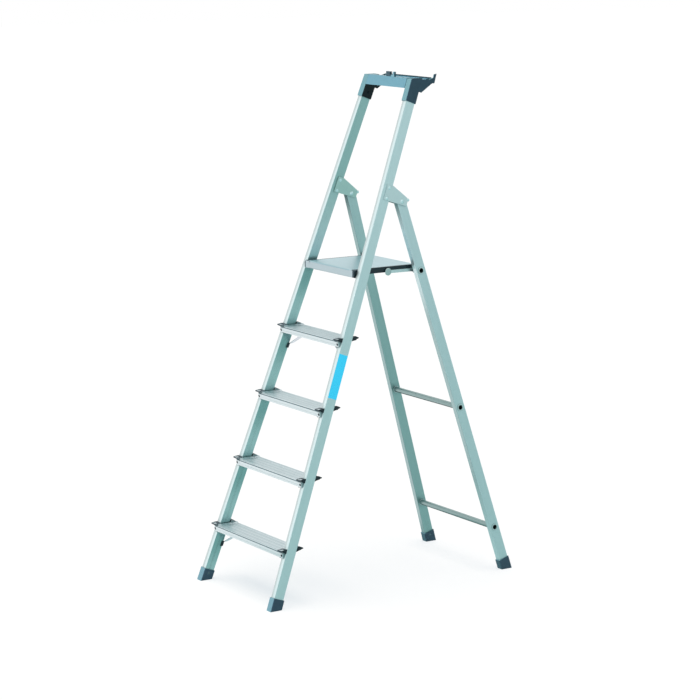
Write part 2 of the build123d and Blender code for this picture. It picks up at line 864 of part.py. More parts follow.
def platform_pin():
    """Pin from inside the stile's wall into the platform's hinge ear."""
    start = platform_half_width + platform_wall + body_gap
    inner_wall = -stile_width + stile_wall
    pin = cross_bar(PLATFORM_PIVOT.Y, PLATFORM_PIVOT.Z, platform_pin_radius, start)
    pin = pin & slab(SIDE, -far, inner_wall + pin_head_height)
    head_radius = platform_pin_radius + pin_head_lip
    spot = FRONT.to_local_coords(PLATFORM_PIVOT)
    head = drum(FRONT, spot.X, spot.Y, head_radius, inner_wall, inner_wall + pin_head_height)
    return pin + head


def link_bar():
    """Flat link from the knob pin on the platform to its eye on the crossbar."""
    half = link_height / 2
    eye_radius = rung_radius + body_gap
    outline = [
        (knob_y, knob_z - half),
        (open_bar[0], open_bar[1] - half),
        (open_bar[0], open_bar[1] + half),
        (knob_y, knob_z + half),
    ]
    bar = outline_face(outline)
    bar += Pos(knob_y, knob_z) * Circle(half + link_end_lip)
    bar += Pos(*open_bar) * Circle(eye_radius + link_eye_wall)
    bar -= Pos(*open_bar) * Circle(eye_radius)
    return prism(MIDDLE, bar, link_in, link_out)


def link_knob():
    """Round domed knob on the link's outer side."""
    knob = cross_bar(knob_y, knob_z, knob_radius, link_out, knob_out)
    rim = knob.edges().filter_by(GeomType.CIRCLE).sort_by(Axis.X)[-1]
    return fillet(rim, knob_height * knob_roundness)


def link_collar():
    """Plastic collar outboard of the link that keeps its eye in place on the crossbar."""
    start = link_out + body_gap
    ring = cross_bar(*open_bar, collar_radius, start, start + collar_length)
    return ring - cross_bar(*open_bar, rung_radius + fit_gap)


def tray_places():
    """Front and back of the tray's top, as world Y."""
    front = front_face_y(tray_top) - tray_wall / cos(front_angle)
    return front, front + tray_depth


def back_wall_y(height):
    """Y of the tray's leaning back wall at a height above the floor."""
    return tray_places()[1] + (height - tray_top) * tan(radians(back_wall_lean))


def back_wall_outline():
    """Outline of the tray's back wall, from under the shelf nearly to the tray's top."""
    low = tray_top - tray_recess - tray_wall
    high = tray_top - back_wall_step
    return [
        (back_wall_y(low), low),
        (back_wall_y(high), high),
        (back_wall_y(high) + tray_wall, high),
        (back_wall_y(low) + tray_wall, low),
    ]


def tray_hook():
    """Hook that stands up from the rear of the right bracket's outer cheek."""
    low = tray_top - back_wall_drop
    front_top = tray_top + hook_front_height
    top = tray_top + hook_height
    outline = [
        (back_wall_y(low), low),
        (back_wall_y(front_top), front_top),
        (back_wall_y(top) + hook_depth, top),
        (back_wall_y(low) + hook_depth, low),
    ]
    return prism(SIDE, side_outline(outline), 0, tray_wall)


def tray_bracket():
    """Moulded end of the tray: a sleeve over the stile's top, two gusset cheeks and a low rim."""
    _, back = tray_places()
    outer = tray_wall
    inner = -stile_width - tray_wall
    long_top = front_stile_top + 2 * stile_depth
    block = tube_along(FRONT, sleeve_bottom, long_top, -tray_wall, FRONT_FACES, shoe_corner)
    start = place(FRONT, stile_depth + tray_wall / 2, gusset_bottom)
    step = place(FRONT, stile_depth + tray_wall + gusset_step, gusset_bottom)
    stile_back = front_face_y(tray_top) + stile_depth / cos(front_angle)
    rim = tray_top - tray_recess + tray_end_rim
    under = rim - tray_end_rim - tray_wall
    low = tray_top - back_wall_drop
    high = tray_top - back_wall_step
    cheek = [
        (start.Y, start.Z),
        (step.Y, step.Z),
        (back_wall_y(low), low),
        (back_wall_y(low) + hook_depth, low),
        (back_wall_y(high) + hook_depth, high),
        (back_wall_y(high), high),
        (back - end_notch_rear, rim),
        (stile_back - end_notch_front, rim),
        (stile_back - end_notch_front - end_notch_slope, tray_top),
        (stile_back - stile_depth, tray_top),
    ]
    shelf_end = [
        (stile_back - end_notch_front, rim - tray_end_rim),
        (back_wall_y(rim), rim - tray_end_rim),
        (back_wall_y(rim), under),
        (stile_back - end_notch_front, under),
    ]
    bracket = block
    bracket += prism(SIDE, side_outline(cheek), outer - tray_wall, outer)
    bracket += prism(SIDE, side_outline(cheek), inner, inner + tray_wall)
    bracket += prism(SIDE, side_outline(shelf_end), inner, outer)
    bracket += prism(SIDE, side_outline(back_wall_outline()), inner, outer)
    socket = tube_along(
        FRONT, sleeve_bottom - 1, front_stile_top + fit_gap, -fit_gap, FRONT_FACES, stile_corner
    )
    bracket -= socket
    above_top = [
        (stile_back - 3 * stile_depth, tray_top),
        (back, tray_top),
        (back, tray_top + far / 2),
        (stile_back - 3 * stile_depth, tray_top + far / 2),
    ]
    bracket -= prism(SIDE, side_outline(above_top), 2 * inner, 2 * outer)
    return bracket - blind_rivet_hole(FRONT, FRONT_FACES, bracket_rivet_height)


def tray_shelf():
    """Front band, sunken shelf and back wall between the two brackets."""
    front = tray_places()[0]
    band_low = tray_top - tray_band
    band_front = front_face_y(band_low) - tray_wall / cos(front_angle)
    floor = tray_top - tray_recess
    band_back = front + tray_front_rim
    outline = [
        (band_front, band_low),
        (front, tray_top),
        (band_back, tray_top),
        (band_back + tray_rim_slope, floor),
        (back_wall_y(floor), floor),
        (back_wall_y(floor - tray_wall), floor - tray_wall),
        (band_back - tray_wall, floor - tray_wall),
        (band_back - tray_wall, tray_top - tray_wall),
        (front + tray_wall, tray_top - tray_wall),
        (band_front + tray_wall, band_low),
    ]
    shelf = across(outline, floor_width / 2) + across(back_wall_outline(), floor_width / 2)
    return inside_sides(shelf, -stile_width - tray_wall - fit_gap)


def tray_clip():
    """Two upright posts on a foot, on the tray's front rim."""
    front, _ = tray_places()
    middle_y = front + clip_setback + clip_depth / 2
    foot_z = tray_top + clip_foot_height / 2
    post_z = tray_top + clip_height / 2
    clip = Pos(clip_foot_middle, middle_y, foot_z) * Box(clip_foot_width, clip_depth, clip_foot_height)
    for middle, width in ((clip_post_middle, clip_post_width), (clip_finger_middle, clip_finger_width)):
        clip += Pos(middle, middle_y, post_z) * Box(width, clip_depth, clip_height)
    return clip


def label():
    """Bare plate on the right front stile."""
    edge = stile_depth - label_margin
    outline = [
        (label_margin, label_bottom),
        (edge, label_bottom),
        (edge, label_bottom + label_length),
        (label_margin, label_bottom + label_length),
    ]
    return prism(FRONT, outline, 0, label_thickness)


def group(pieces):
    """Right-hand pieces and their left-hand twins as one node's solids."""
    return Compound(children=[both(piece) for piece in pieces])


def front_frame():
    """Front stiles with everything that is fixed to them."""
    save_pair("front_stile", front_stile())
    for number, top in enumerate(tread_tops, start=1):
        save(f"tread_{number}", tread(top))
        save_pair(f"tread_cap_{number}", tread_cap(top))
    save("tread_screws", group([tread_screw(top) for top in tread_tops]))
    braced_tops = [(number, tread_tops[number - 1]) for number in braced_treads]
    for number, top in braced_tops:
        save_pair(f"tread_brace_{number}", brace(top))
    save("brace_feet", group([brace_foot(top) for _, top in braced_tops]))
    hole = blind_rivet_hole(FRONT, FRONT_FACES, front_rivet_height)
    save_pair("front_shoe", shoe(FRONT, front_angle, FRONT_FACES, front_shoe_height) - hole)
    save("front_shoe_rivets", group([blind_rivet(FRONT, FRONT_FACES, front_rivet_height, shoe_wall)]))
    save_pair("hinge_plate_outer", hinge_plate(0, plate_out))
    save_pair("hinge_plate_inner", hinge_plate(plate_in, -stile_width))
    rivets = [
        through_rivet(x, y, rivet_radius, rivet_head_radius, rivet_head_height) for x, y in plate_rivets
    ]
    save("hinge_plate_rivets", group(rivets))
    save_pair("hinge_pin", hinge_pin())
    head_radius = stop_pin_radius + stop_head_lip
    stop = through_rivet(stop_behind, stop_height, stop_pin_radius, head_radius, stop_head_height)
    save("stop_pins", group([stop]))
    save("platform_pins", group([platform_pin()]))
    save("tray_shelf", tray_shelf())
    save("tray_bracket_right", tray_bracket() + tray_hook())
    save("tray_bracket_left", mirrored(tray_bracket()))
    save("tray_rivets", group([blind_rivet(FRONT, FRONT_FACES, bracket_rivet_height, tray_wall)]))
    save("tray_clip", tray_clip())
    save("blank_label", label())


def rear_frame():
    """Rear stiles with their rungs, shoes and hinge bushes."""
    save_pair("rear_stile", rear_stile())
    for name, (y, z) in zip(("lower_rung", "middle_rung", "crossbar"), rung_places):
        save(name, rung(y, z))
    hole = blind_rivet_hole(REAR, REAR_FACES, rear_rivet_height)
    save_pair("rear_shoe", shoe(REAR, -rear_angle, REAR_FACES, rear_shoe_height) - hole)
    save("rear_shoe_rivets", group([blind_rivet(REAR, REAR_FACES, rear_rivet_height, shoe_wall)]))
    save("hinge_bushes", group([hinge_bush()]))
    save("stile_plugs", group([stile_plug()]))
    save("link_collars", group([link_collar()]))


def platform_and_links():
    """Folding platform, and the two links that carry it up as the ladder folds."""
    save("platform_deck", platform_deck())
    save_pair("platform_side_cap", platform_side_cap())
    save_pair("link_bar", link_bar())
    save_pair("link_knob", link_knob())


def main():
    os.makedirs("parts", exist_ok=True)
    front_frame()
    rear_frame()
    platform_and_links()


if __name__ == "__main__":
    main()
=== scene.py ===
# %% [markdown]
# # A folding step ladder
#
# The ladder stands open: two leaning front stiles carry four treads, a platform and a tool tray,
# and a rear frame of two stiles and three round rungs folds in behind them.
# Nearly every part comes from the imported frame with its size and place.  This file gives each of
# them a finish, replaces the treads' braces and their feet, and adds a few small pieces.
# Lengths are in metres, or in millimetres where that is said.  +Z is up, the climber is at -Y.

# %% Load the frame
from math import cos, pi, radians, sin, tan

import bmesh
import bpy
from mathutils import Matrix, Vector


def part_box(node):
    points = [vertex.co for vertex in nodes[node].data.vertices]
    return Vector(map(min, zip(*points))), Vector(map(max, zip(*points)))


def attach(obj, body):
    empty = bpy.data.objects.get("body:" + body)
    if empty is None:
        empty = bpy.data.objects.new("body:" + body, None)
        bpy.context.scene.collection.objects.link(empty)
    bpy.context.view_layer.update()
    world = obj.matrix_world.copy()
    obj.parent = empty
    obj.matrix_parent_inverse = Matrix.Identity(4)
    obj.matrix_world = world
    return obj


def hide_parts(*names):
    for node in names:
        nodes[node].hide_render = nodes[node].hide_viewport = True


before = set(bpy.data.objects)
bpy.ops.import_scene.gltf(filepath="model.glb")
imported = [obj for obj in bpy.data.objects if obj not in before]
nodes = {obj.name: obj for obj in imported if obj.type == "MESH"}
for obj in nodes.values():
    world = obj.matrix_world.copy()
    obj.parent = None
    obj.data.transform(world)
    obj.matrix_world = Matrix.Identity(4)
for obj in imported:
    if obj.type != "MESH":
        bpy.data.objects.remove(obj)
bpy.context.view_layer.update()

# %% [markdown]
# ## The camera
#
# A product picture of something tall and thin is taken from far away with a long lens, so that
# upright lines stay almost parallel.  The camera stands to the climber's right, higher than
# the tray, and looks slightly down.  Its place is worked out from a point on the ladder,
# a distance and two angles, because those are easier to change than three coordinates.

# %% Camera
azimuth = radians(56.43)
elevation = radians(10.25)
distance = 8.3
target = Vector((0.2367, -0.1825, 0.8774))
back = Vector((sin(azimuth) * cos(elevation), -cos(azimuth) * cos(elevation), sin(elevation)))

camera_data = bpy.data.cameras.new("camera")
camera_data.sensor_width = 36.0
camera_data.lens = 124.02
camera = bpy.data.objects.new("camera", camera_data)
camera.rotation_mode = "QUATERNION"
camera.location = target + distance * back
camera.rotation_quaternion = (-back).to_track_quat("-Z", "Y")
bpy.context.scene.collection.objects.link(camera)
bpy.context.scene.camera = camera
bpy.context.scene.view_settings.view_transform = "Standard"
print("camera:", [round(value, 3) for value in camera.location])

# %% [markdown]
# ## Small helpers for materials
#
# A colour that people pick is written for the screen (sRGB), but a shader counts light, so each
# hex value is turned into linear numbers first.  A shader is a tree of nodes, and one function
# is enough to add any of them: it takes the kind, the settings and what is plugged in.

# %% Colour and node helpers
def linear(hex_colour):
    """Linear red, green, blue and alpha of an sRGB hex colour."""
    shares = [int(hex_colour[i:i + 2], 16) / 255 for i in (1, 3, 5)]
    return [s / 12.92 if s <= 0.04045 else ((s + 0.055) / 1.055) ** 2.4 for s in shares] + [1.0]


def add_node(tree, kind, settings=None, links=None):
    """Add a node to a tree, set its properties and sockets, and plug outputs into its sockets."""
    made = tree.nodes.new(kind)
    for name, value in (settings or {}).items():
        if isinstance(name, str) and hasattr(made, name):
            setattr(made, name, value)
        else:
            made.inputs[name].default_value = value
    for name, output in (links or {}).items():
        tree.links.new(output, made.inputs[name])
    return made


def new_material(name):
    """An empty node material and its tree."""
    material = bpy.data.materials.new(name)
    material.use_nodes = True
    material.node_tree.nodes.clear()
    return material, material.node_tree


print("white is", linear("#FFFFFF")[:3])

# %% [markdown]
# ## World and floor
#
# The studio is a white sweep: floor and background are one white, and only a faint cool shadow
# shows where the ladder stands.  A world of one strength for everything would flood the sides
# with light, so it is white only where it is seen or mirrored, and a dim teal fill elsewhere.
# The floor is a matt surface that takes the shadow, plus a glow that only the camera and
# mirror-like surfaces see, so that it meets the white background without an edge.  The colour with
# which it lights the ladder from below is a little cooler than the one that is seen.

# %% World
def seen_or_mirrored(tree):
    """1 for a ray from the camera or from a glossy or clear surface, otherwise 0."""
    ray = add_node(tree, "ShaderNodeLightPath")
    seen = ray.outputs["Is Camera Ray"]
    for kind in ("Is Glossy Ray", "Is Transmission Ray"):
        more = add_node(tree, "ShaderNodeMath", {"operation": "MAXIMUM"},
                        {0: seen, 1: ray.outputs[kind]})
        seen = more.outputs[0]
    return seen


world = bpy.data.worlds.new("white_sweep")
world.use_nodes = True
sky = world.node_tree
sky.nodes.clear()
fill = add_node(sky, "ShaderNodeBackground", {"Color": (0.6, 1.0, 1.0, 1.0), "Strength": 0.05})
white = add_node(sky, "ShaderNodeBackground", {"Color": linear("#FFFFFF"), "Strength": 1.0})
either = add_node(sky, "ShaderNodeMixShader", None,
                  {0: seen_or_mirrored(sky), 1: fill.outputs[0], 2: white.outputs[0]})
add_node(sky, "ShaderNodeOutputWorld", None, {"Surface": either.outputs[0]})
bpy.context.scene.world = world
print("world:", world.name)

# %% Floor
def flat_sheet(name, across, height, centre, towards):
    """A flat studio sheet of a width and height that faces a direction.  It is stage, not ladder."""
    sheet = bmesh.new()
    bmesh.ops.create_grid(sheet, x_segments=1, y_segments=1, size=0.5)
    bmesh.ops.scale(sheet, vec=(across, height, 1.0), verts=sheet.verts)
    data = bpy.data.meshes.new(name)
    sheet.to_mesh(data)
    sheet.free()
    made = bpy.data.objects.new(name, data)
    made.location = centre
    made.rotation_mode = "QUATERNION"
    made.rotation_quaternion = Vector(towards).to_track_quat("Z", "Y")
    bpy.context.scene.collection.objects.link(made)
    return made


floor_reach = 80.0
thrown_paper = (0.23, 0.25, 0.26, 1.0)
seen_paper = (0.29, 0.25, 0.215, 1.0)
paper_glow = (0.73, 0.77, 0.805, 1.0)
floor = flat_sheet("floor", floor_reach, floor_reach, centre=(0, 0, 0), towards=(0, 0, 1))
paper, tree = new_material("white_paper")
paper_tone = add_node(tree, "ShaderNodeMix", {"data_type": "RGBA"}, {"Factor": seen_or_mirrored(tree)})
paper_tone.inputs[6].default_value = thrown_paper
paper_tone.inputs[7].default_value = seen_paper
matt = add_node(tree, "ShaderNodeBsdfDiffuse", None, {"Color": paper_tone.outputs[2]})
glow = add_node(tree, "ShaderNodeEmission", {"Color": paper_glow},
                {"Strength": seen_or_mirrored(tree)})
lit = add_node(tree, "ShaderNodeAddShader", None, {0: matt.outputs[0], 1: glow.outputs[0]})
add_node(tree, "ShaderNodeOutputMaterial", None, {"Surface": lit.outputs[0]})
floor.data.materials.append(paper)
print("floor:", floor_reach, "m across")

# %% [markdown]
# ## The main lamp
#
# The main lamp is a very large soft source, high on the climber's left: it lights the faces
# towards the climber and the tops of the treads and leaves the right-hand sides in shade.  A sun
# lamp with a wide angle does this best, because it lights the top and the foot of a tall thing
# alike.  Satin metal would mirror it as a white glare on every front, so it is hidden from mirror
# rays, and the metal mirrors the white room instead.

# %% The main lamp
def aim(thing, direction):
    """Turn a lamp so that it shines along a direction."""
    thing.rotation_mode = "QUATERNION"
    thing.rotation_quaternion = Vector(direction).to_track_quat("-Z", "Y")
    bpy.context.scene.collection.objects.link(thing)


key_direction = (0.35, 0.75, -0.56)
key_data = bpy.data.lights.new("key", "SUN")
key_data.energy = 3.08
key_data.angle = radians(40)
key = bpy.data.objects.new("key", key_data)
key.visible_glossy = False
aim(key, key_direction)
print("key strength", key_data.energy)

# %% [markdown]
# ## A lamp for the floor alone
#
# Lit by the main lamp, the ladder would throw a long shadow to one side.  Light linking lets each
# lamp choose what it lights: the main lamp leaves the floor out, and a broad lamp almost straight
# overhead lights only the floor, so that the shadow gathers softly under the ladder.  So the
# shadow on the floor doesn't belong to the light on the ladder.

# %% The overhead lamp
def receivers(name, state):
    """A collection that says whether a lamp lights the floor alone or leaves it out."""
    group = bpy.data.collections.new(name)
    group.objects.link(floor)
    group.collection_objects[0].light_linking.link_state = state
    return group


key.light_linking.receiver_collection = receivers("all_but_floor", "EXCLUDE")
overhead_direction = (0, 0.05, -1)
overhead_data = bpy.data.lights.new("overhead", "SUN")
overhead_data.energy = pi
overhead_data.angle = radians(52)
overhead = bpy.data.objects.new("overhead", overhead_data)
overhead.visible_glossy = False
aim(overhead, overhead_direction)
overhead.light_linking.receiver_collection = receivers("floor_alone", "INCLUDE")
print("overhead strength", round(overhead_data.energy, 3))

# %% [markdown]
# ## Cards
#
# What the shaded sides mirror is a teal card that stands on the right, lighter towards its top,
# and a second one that lies on the floor, as studio flags are set beside a shiny product.  Both
# are hidden from everything but mirror rays.

# %% The cards
cards = [
    flat_sheet("standing_card", across=11.0, height=3.4, centre=(3.0, 2.0, 1.7), towards=(-1, 0, 0)),
    flat_sheet("lying_card", across=3.35, height=7.4, centre=(1.325, 2.8, 0.001), towards=(0, 0, 1)),
]
card_fade = 1.6
card_foot_tone = (0.46, 0.64, 0.635, 1.0)
card_top_tone = (0.595, 0.735, 0.748, 1.0)
card_colour, tree = new_material("teal_card_glow")
where = add_node(tree, "ShaderNodeNewGeometry")
parts = add_node(tree, "ShaderNodeSeparateXYZ", None, {0: where.outputs["Position"]})
share = add_node(tree, "ShaderNodeMapRange", {"From Min": 0.0, "From Max": card_fade},
                 {"Value": parts.outputs["Z"]})
shade = add_node(tree, "ShaderNodeMix", {"data_type": "RGBA"}, {"Factor": share.outputs[0]})
shade.inputs[6].default_value = card_foot_tone
shade.inputs[7].default_value = card_top_tone
glow = add_node(tree, "ShaderNodeEmission", {"Strength": 1.0}, {"Color": shade.outputs[2]})
add_node(tree, "ShaderNodeOutputMaterial", None, {"Surface": glow.outputs[0]})
for card in cards:
    card.data.materials.append(card_colour)
    for kind in ("camera", "diffuse", "transmission", "shadow"):
        setattr(card, f"visible_{kind}", False)
print("cards:", len(cards), "fading over", card_fade, "m")

# %% [markdown]
# ## Satin anodised aluminium
#
# Stiles, treads, platform and rungs are extruded aluminium with a clear anodised skin: metal
# that mirrors its surroundings very softly, with faint lines along the way it left the die.
# It could be a plain metal of one roughness, but then long bars look like plastic.  Here a noise
# that is stretched along the bar moves the roughness and the brightness a little, and a faint
# bump gives the lines.  The real lines are about 0.3 mm apart; they are drawn 6 mm wide, because
# finer ones would vanish.

# %% Streaks along a bar
def along(tree, direction, width_mm, length_mm):
    """Texture coordinates for streaks of this width and length that run along a direction."""
    place = add_node(tree, "ShaderNodeTexCoord")
    turn = Vector(direction).to_track_quat("Z", "Y").inverted().to_euler()
    turned = add_node(tree, "ShaderNodeMapping", {"Rotation": turn}, {"Vector": place.outputs["Object"]})
    scale = (1000.0 / width_mm, 1000.0 / width_mm, 1000.0 / length_mm)
    return add_node(tree, "ShaderNodeMapping", {"Scale": scale}, {"Vector": turned.outputs[0]})


# A noise seldom leaves this range, so the roughness swings fully within it.
noise_low = 0.3
noise_high = 0.7
print("noise used from", noise_low, "to", noise_high)

# %% [markdown]
# ## Painted shade
#
# Between its treads, stiles and hinges a ladder is shaded in ways that two lamps don't give.  Many
# small lamps and flags could do that.  Here the shade is painted instead.  A wash is a tint by
# which a finish is multiplied, limited to the faces that look one way, to a stretch along a
# direction, or to a wave that repeats with the treads.  A last tint darkens corners.  This is
# quick and suits the open ladder, but it isn't light: it stays on the surface when the ladder
# folds or stands in other light.

# %% Where a wash applies
def facing(tree, direction, least=0.6):
    """1 on the faces that look along a direction, otherwise 0."""
    shape = add_node(tree, "ShaderNodeNewGeometry")
    dot = add_node(tree, "ShaderNodeVectorMath", {"operation": "DOT_PRODUCT", 1: direction},
                   {0: shape.outputs["Normal"]})
    step = add_node(tree, "ShaderNodeMath", {"operation": "GREATER_THAN", 1: least},
                    {0: dot.outputs["Value"]})
    return step.outputs[0]


def averted(tree, direction):
    """0 on the faces that look along a direction, otherwise 1."""
    turned = add_node(tree, "ShaderNodeMath", {"operation": "SUBTRACT", 0: 1.0},
                      {1: facing(tree, direction)})
    return turned.outputs[0]


def rising(tree, direction, start, end):
    """A share that rises from 0 to 1 as the place along a direction goes from start to end."""
    place = add_node(tree, "ShaderNodeTexCoord")
    dot = add_node(tree, "ShaderNodeVectorMath", {"operation": "DOT_PRODUCT", 1: direction},
                   {0: place.outputs["Object"]})
    share = add_node(tree, "ShaderNodeMapRange", {"From Min": start, "From Max": end},
                     {"Value": dot.outputs["Value"]})
    return share.outputs[0]


def waving(tree, direction, pitch_mm, start_mm=0.0):
    """A share that swings between 0 and 1 along a direction, once in every pitch.

    At the start it is half way and climbing.
    """
    place = add_node(tree, "ShaderNodeTexCoord")
    turns = Vector(direction) * 2 * pi * 1000 / pitch_mm
    dot = add_node(tree, "ShaderNodeVectorMath", {"operation": "DOT_PRODUCT", 1: turns},
                   {0: place.outputs["Object"]})
    turned = add_node(tree, "ShaderNodeMath", {"operation": "SUBTRACT", 1: 2 * pi * start_mm / pitch_mm},
                      {0: dot.outputs["Value"]})
    swing = add_node(tree, "ShaderNodeMath", {"operation": "SINE"}, {0: turned.outputs[0]})
    share = add_node(tree, "ShaderNodeMapRange", {"From Min": -1.0, "From Max": 1.0},
                     {"Value": swing.outputs[0]})
    return share.outputs[0]


shares_by_name = {"facing": facing, "averted": averted, "rising": rising, "waving": waving}
print("washes may be limited by:", sorted(shares_by_name))

# %% Tints
def tinted(tree, tone, share, hex_colour):
    """A tone multiplied by a tint, as far as a share says."""
    mixed = add_node(tree, "ShaderNodeMix", {"data_type": "RGBA", "blend_type": "MULTIPLY"},
                     {"Factor": share})
    tree.links.new(tone, mixed.inputs[6])
    mixed.inputs[7].default_value = linear(hex_colour)
    return mixed.outputs[2]


def cornered(tree, tone, reach_mm, hex_colour, spared=None):
    """A tone multiplied by a tint where other surfaces are nearer than a reach.

    Faces that look along the spared direction keep their tone.
    """
    # Painted shade: the tint darkens corners and places close under other surfaces.
    corner = add_node(tree, "ShaderNodeAmbientOcclusion", {"samples": 8, "Distance": reach_mm / 1000})
    shut = add_node(tree, "ShaderNodeMath", {"operation": "SUBTRACT", 0: 1.0}, {1: corner.outputs["AO"]})
    if spared:
        shut = add_node(tree, "ShaderNodeMath", {"operation": "MULTIPLY"},
                        {0: shut.outputs[0], 1: averted(tree, spared)})
    return tinted(tree, tone, shut.outputs[0], hex_colour)


def washed(tree, tone, washes):
    """A tone with washes over it.  Each is a tint and the shares that limit it, by name."""
    for hex_colour, (kind, *how), *more in washes:
        share = shares_by_name[kind](tree, *how)
        for kind, *how in more:
            both = add_node(tree, "ShaderNodeMath", {"operation": "MULTIPLY"},
                            {0: share, 1: shares_by_name[kind](tree, *how)})
            share = both.outputs[0]
        tone = tinted(tree, tone, share, hex_colour)
    return tone


print("a full wash of #808080 keeps", round(linear("#808080")[0], 3), "of the light")

# %% Anodised aluminium
streak_stretch = 60
anodised_swing = 0.05
anodised_corner_mm = 25.0


def anodised(name, direction, dull, bright, roughness, metal=0.85, streak_mm=6.0, bump_mm=0.02,
             washes=(), spared=None):
    """Extruded aluminium with a clear anodised skin and faint lines along a direction."""
    material, tree = new_material(name)
    lines = along(tree, direction, streak_mm, streak_stretch * streak_mm)
    streaks = add_node(tree, "ShaderNodeTexNoise", {"Scale": 1.0, "Detail": 3.0, "Roughness": 0.55},
                       {"Vector": lines.outputs[0]})
    tone = add_node(tree, "ShaderNodeMix", {"data_type": "RGBA"}, {"Factor": streaks.outputs["Fac"]})
    tone.inputs[6].default_value = linear(dull)
    tone.inputs[7].default_value = linear(bright)
    colour = washed(tree, tone.outputs[2], washes)
    # Painted shade in the corners of every anodised part.
    colour = cornered(tree, colour, anodised_corner_mm, "#88A0A0", spared)
    rough = add_node(tree, "ShaderNodeMapRange",
                     {"From Min": noise_low, "From Max": noise_high,
                      "To Min": roughness - anodised_swing, "To Max": roughness + anodised_swing},
                     {"Value": streaks.outputs["Fac"]})
    bump = add_node(tree, "ShaderNodeBump", {"Strength": 0.3, "Distance": bump_mm / 1000},
                    {"Height": streaks.outputs["Fac"]})
    skin = add_node(tree, "ShaderNodeBsdfPrincipled", {"Metallic": metal},
                    {"Base Color": colour, "Roughness": rough.outputs[0], "Normal": bump.outputs[0]})
    add_node(tree, "ShaderNodeOutputMaterial", None, {"Surface": skin.outputs[0]})
    return material


print("streaks are", streak_stretch, "times as long as wide")

# %% Directions on the ladder
mm = 0.001
front_lean = radians(20.0)
rear_lean = radians(-17.0)
side_lean = radians(3.32)
along_front = (0, sin(front_lean), cos(front_lean))
along_rear = (0, sin(rear_lean), cos(rear_lean))
to_climber = (0, -1, 0)
up = (0, 0, 1)
down = (0, 0, -1)
inwards = {"right": (-1, 0, 0), "left": (1, 0, 0)}
outwards = {"right": (cos(side_lean), 0, sin(side_lean)), "left": (-cos(side_lean), 0, sin(side_lean))}

print("along the front stiles:", [round(part, 3) for part in along_front])

# %% Heights and depths of the washes
stile_low, stile_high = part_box("front_stile_right")
rear_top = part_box("rear_stile_left")[1].z
# The outer faces of both front stiles lie this far out, measured across their own slanted plane.
outer_face = stile_high.x * cos(side_lean) + stile_low.z * sin(side_lean)
# A stile's front has two tones side by side, and the darker one is painted shade, as a slightly
# crowned front would have on the half that turns from the light.  It starts and is full this far in
# from the outer face: it lies on the inner part of the right stile and the outer part of the left one.
crown_shade_insets = {"right": (11.0 * mm, 14.0 * mm), "left": (14.0 * mm, 10.0 * mm)}

# Heights at which a wash starts and at which it is full.
above_foot = (0.10, 0.35)
below_crossbar = (1.05, 0.95)
whole_rear = (0.0, rear_top)
near_hinge = (1.26, 1.36)
below_platform = (1.20, 1.10)
above_platform = (1.18, 1.42)
rear_below_platform = (1.15, 1.00)
# The fourth tread's top lies in the platform's shadow, which is painted on above these heights.
fourth_tread_shadow = (0.85, 0.86)
# The painted shade up the inner faces repeats with the treads, and the painted shade of the rib
# grooves across a tread every 20 mm.
rise_mm = 235.0
rise_start_mm = 80.0
rib_shade_mm = 20.0
print("outer face at", round(outer_face, 4), "rear stiles end at", round(rear_top, 4))

# %% Finishes of the stiles
front_stile_metal = {}
rear_stile_metal = {}
# The fronts of the rear stiles carry painted shade, as if they stood in the front frame's shade,
# most of all under the hinges.  Their inner faces carry painted shade as well, deepest below the
# platform, and their base colours are a little darker than the front stiles', which is painted
# shade too.
rear_front_shade_washes = {
    "right": [("#CAD5D4", ("facing", to_climber), ("rising", up, *above_foot),
               ("rising", up, *below_crossbar))],
    "left": [("#C9D0CF", ("facing", to_climber)),
             ("#E3F1F0", ("facing", to_climber), ("rising", up, *whole_rear))],
}
under_hinge_shade_wash = ("#6E8C8C", ("facing", to_climber), ("rising", up, *near_hinge))

# The inner faces carry painted shade too: it comes back once in every rise of the treads, ends at
# the platform, and deepens again towards the hinges.
for side in inwards:
    crown_start, crown_end = (outer_face - inset for inset in crown_shade_insets[side])
    # Painted shade on the part of each stile's front that lies away from the light.
    crown_shade_wash = ("#EAE5E4", ("facing", to_climber), ("rising", outwards[side], crown_start, crown_end))
    inner = ("facing", inwards[side])
    under = ("rising", up, *below_platform)
    inner_shade_washes = [("#E3F2F0", inner, under),
                    ("#C8DCDA", inner, ("waving", up, rise_mm, rise_start_mm), under),
                    ("#C9DEDA", inner, ("rising", up, *above_platform))]
    front_stile_metal[side] = anodised(f"front_stile_anodised_{side}", along_front, "#D9ECEE", "#E4F6F7",
                                       0.35, washes=[crown_shade_wash, *inner_shade_washes], spared=outwards[side])
    rear_shade_washes = [*rear_front_shade_washes[side], under_hinge_shade_wash, ("#E6EEEC", inner),
                   ("#E0EBE9", inner, ("rising", up, *rear_below_platform))]
    rear_stile_metal[side] = anodised(f"rear_stile_anodised_{side}", along_rear, "#D2E6E8", "#DCF0F2",
                                      0.35, washes=rear_shade_washes)
print("stile finishes:", len(front_stile_metal) + len(rear_stile_metal))

# %% Finishes of the treads, platform and rungs
# Painted shade on the tread tops: stripes for the rib grooves, and the platform's shadow on the fourth
# tread.
tread_shade_washes = [("#E6EDEE", ("facing", up), ("waving", (0, 1, 0), rib_shade_mm)),
                ("#F0F4F5", ("facing", up), ("rising", up, *fourth_tread_shadow))]
tread_metal = anodised("tread_anodised", (1, 0, 0), "#D8E4E7", "#E2ECEF", 0.38, washes=tread_shade_washes)
# Painted shade: the platform's top and its front are tinted darker than its other faces.
platform_shade_washes = [("#D8EEF3", ("facing", up)), ("#DDE4E8", ("facing", to_climber))]
platform_metal = anodised("platform_anodised", (1, 0, 0), "#D2DFE2", "#DDE8EA", 0.36,
                          washes=platform_shade_washes)
